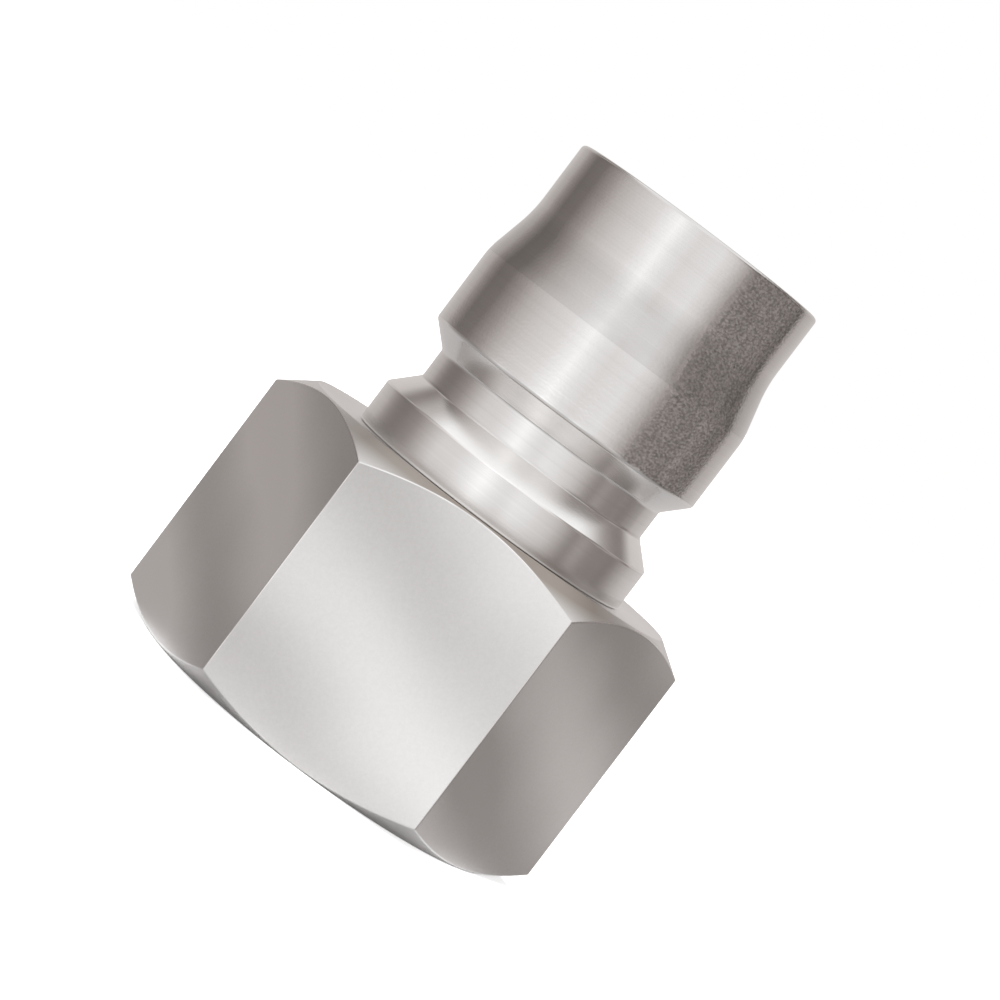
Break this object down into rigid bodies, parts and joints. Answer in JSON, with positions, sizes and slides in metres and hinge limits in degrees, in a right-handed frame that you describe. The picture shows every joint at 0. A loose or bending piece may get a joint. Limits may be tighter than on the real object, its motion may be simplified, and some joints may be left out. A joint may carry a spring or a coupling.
{
  "type": "hydraulic quick coupling plug",
  "caption": "Male half of a hydraulic quick coupling: turned nose with lead-in and locking groove on a chamfered hexagon with a female port, holding a spring-closed shut-off valve.",
  "frame": {"origin": "centre of the hexagon's end face, where the port opens", "axes": "+Z along the axis towards the nose's tip, one flat of the hexagon facing -Y, two corners on X"},
  "size_m": [0.0334, 0.029, 0.0426],
  "materials": {
    "stainless": "satin turned and milled stainless steel",
    "valve_steel": "fine turned stainless steel",
    "spring_steel": "drawn stainless spring wire",
    "seal_rubber": "matte black nitrile rubber"
  },
  "bodies": {
    "coupling_body": {"nose_body": "stainless", "hex_adapter": "stainless", "body_o_ring": "seal_rubber", "valve_guide": "valve_steel", "valve_spring": "spring_steel"},
    "poppet": {"valve_poppet": "valve_steel", "poppet_seal": "seal_rubber"}
  },
  "joints": [
    {"name": "valve_slide", "type": "slide", "parent": "coupling_body", "child": "poppet", "axis": [0, 0, -1], "range_m": [0, 0.0045], "stiffness_N_per_m": 2000, "springref_m": -0.003, "deforming": ["valve_spring"]}
  ]
}
